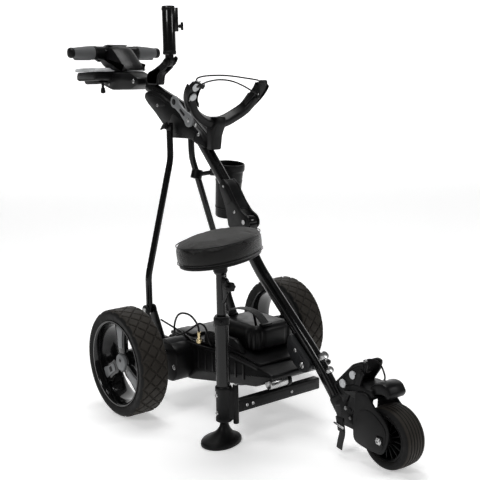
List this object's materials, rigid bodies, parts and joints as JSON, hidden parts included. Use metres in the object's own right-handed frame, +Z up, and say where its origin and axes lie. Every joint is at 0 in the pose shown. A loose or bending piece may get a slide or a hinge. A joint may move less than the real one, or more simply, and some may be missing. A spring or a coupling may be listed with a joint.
{
  "type": "electric golf trolley",
  "caption": "Three-wheeled electric golf trolley with a bent frame tube, rear struts, bag cradles, handle console, umbrella holder, cup holder and a side-mounted swivel seat.",
  "frame": {"origin": "on the floor under the middle of the whole trolley", "axes": "+X forwards to the front wheel, +Y to the left wheel, +Z up"},
  "size_m": [1.296, 0.6284, 1.059],
  "materials": {
    "satin_black": "fine-grained moulded",
    "grey_plate": "satin grey paint",
    "steel": "bright plated",
    "black_metal": "gloss black coated tube",
    "light_grey": "smooth moulded",
    "webbing": "woven",
    "rubber": "matte",
    "brass": "machined",
    "tyre": "matte rubber with a cut tread",
    "gloss_black": "gloss moulded",
    "silver_trim": "satin silver paint",
    "grip_grey": "soft-touch",
    "vinyl": "matte grained vinyl over foam"
  },
  "bodies": {
    "chassis": {"base_shell": "satin_black", "base_cover": "satin_black", "motors": "grey_plate", "controller": "grey_plate", "axles": "steel", "main_tube": "black_metal", "fold_bracket": "grey_plate", "fork": "satin_black", "lower_cradle": "satin_black", "lower_pads": "light_grey", "lower_strap": "webbing", "lower_cords": "rubber", "fold_pin": "steel", "chassis_fasteners": "steel", "strut_feet": "satin_black", "stay_rods": "black_metal", "battery_lead": "rubber", "battery_plug": "brass", "seat_bar": "satin_black", "seat_socket": "satin_black", "seat_outer_tube": "black_metal", "seat_foot": "rubber"},
    "wheel_right": {"tyre_right": "tyre", "rim_right": "gloss_black", "trim_right": "silver_trim"},
    "wheel_left": {"tyre_left": "tyre", "rim_left": "gloss_black", "trim_left": "silver_trim"},
    "front_wheel": {"front_tyre": "tyre", "front_hub": "gloss_black"},
    "battery": {"battery_box": "satin_black", "battery_strap": "webbing"},
    "strut_pair": {"struts": "black_metal", "strut_nuts": "satin_black", "cup_clamp": "satin_black"},
    "cup": {"cup_holder": "satin_black"},
    "upper_frame": {"lower_casing": "satin_black", "mid_tube": "black_metal", "casing_right": "satin_black", "casing_left": "satin_black", "upper_yoke": "satin_black", "upper_arms": "satin_black", "upper_pads": "light_grey", "upper_cords": "rubber", "upper_screws": "steel"},
    "latch": {"latch_lever": "silver_trim"},
    "handle": {"upper_tube": "black_metal", "handle_body": "gloss_black", "handle_grips": "grip_grey", "console_body": "satin_black", "console_top": "light_grey", "umbrella_bracket": "satin_black"},
    "dial": {"speed_dial": "steel"},
    "console_thumbscrew": {"console_screw": "satin_black"},
    "umbrella_holder": {"umbrella_tube": "black_metal"},
    "umbrella_thumbscrew": {"umbrella_screw": "satin_black"},
    "seat_column": {"seat_post": "black_metal"},
    "seat_clamp": {"seat_knob": "satin_black"},
    "seat": {"seat_plate": "black_metal", "seat_cushion": "vinyl"}
  },
  "joints": [
    {"name": "wheel_right_spin", "type": "hinge", "parent": "chassis", "child": "wheel_right", "pos_m": [-0.101, -0.266, 0.14], "axis": [0, 1, 0], "continuous": true},
    {"name": "wheel_left_spin", "type": "hinge", "parent": "chassis", "child": "wheel_left", "pos_m": [-0.101, 0.266, 0.14], "axis": [0, 1, 0], "continuous": true},
    {"name": "front_wheel_spin", "type": "hinge", "parent": "chassis", "child": "front_wheel", "pos_m": [0.581, 0, 0.071], "axis": [0, 1, 0], "continuous": true},
    {"name": "battery_lift", "type": "slide", "parent": "chassis", "child": "battery", "axis": [-0.8, 0, 0.6], "range_m": [0, 0.24]},
    {"name": "frame_fold", "type": "hinge", "parent": "chassis", "child": "upper_frame", "pos_m": [0.087, 0, 0.498], "axis": [0, 1, 0], "range_deg": [0, 136]},
    {"name": "strut_fold", "type": "hinge", "parent": "chassis", "child": "strut_pair", "pos_m": [-0.201, 0, 0.236], "axis": [0, 1, 0], "range_deg": [0, 59]},
    {"name": "cup_tilt", "type": "hinge", "parent": "strut_pair", "child": "cup", "pos_m": [-0.139, 0.068, 0.604], "axis": [0, 1, 0], "range_deg": [-20, 20]},
    {"name": "latch_turn", "type": "hinge", "parent": "upper_frame", "child": "latch", "pos_m": [-0.197, -0.025, 0.8], "axis": [0, 1, 0], "range_deg": [-20, 0], "stiffness_Nm_per_rad": 0.4, "springref_deg": 2.86},
    {"name": "handle_tilt", "type": "hinge", "parent": "upper_frame", "child": "handle", "pos_m": [-0.171, 0, 0.772], "axis": [0, 1, 0], "range_deg": [0, 24]},
    {"name": "dial_turn", "type": "hinge", "parent": "handle", "child": "dial", "pos_m": [-0.587, -0.03, 0.936], "axis": [-0.9848, 0, -0.1736], "range_deg": [-135, 135]},
    {"name": "console_screw_turn", "type": "hinge", "parent": "handle", "child": "console_thumbscrew", "pos_m": [-0.547, -0.048, 0.85], "axis": [0, 0, 1], "continuous": true},
    {"name": "umbrella_tilt", "type": "hinge", "parent": "handle", "child": "umbrella_holder", "pos_m": [-0.257, 0, 0.908], "axis": [0, 1, 0], "range_deg": [-15, 55]},
    {"name": "umbrella_screw_turn", "type": "hinge", "parent": "umbrella_holder", "child": "umbrella_thumbscrew", "pos_m": [-0.253, 0, 1.004], "axis": [0.7071, 0.7071, 0], "continuous": true},
    {"name": "seat_height", "type": "slide", "parent": "chassis", "child": "seat_column", "axis": [0, 0, 1], "range_m": [-0.03, 0.06]},
    {"name": "seat_clamp_turn", "type": "hinge", "parent": "seat_column", "child": "seat_clamp", "pos_m": [0.221, -0.196, 0.386], "axis": [1, 0, 0], "continuous": true},
    {"name": "seat_swivel", "type": "hinge", "parent": "seat_column", "child": "seat", "pos_m": [0.221, -0.196, 0.4], "axis": [0, 0, 1], "continuous": true}
  ],
  "couplings": [
    {"joint": "strut_fold", "follows": "frame_fold", "ratio": 0.43}
  ]
}
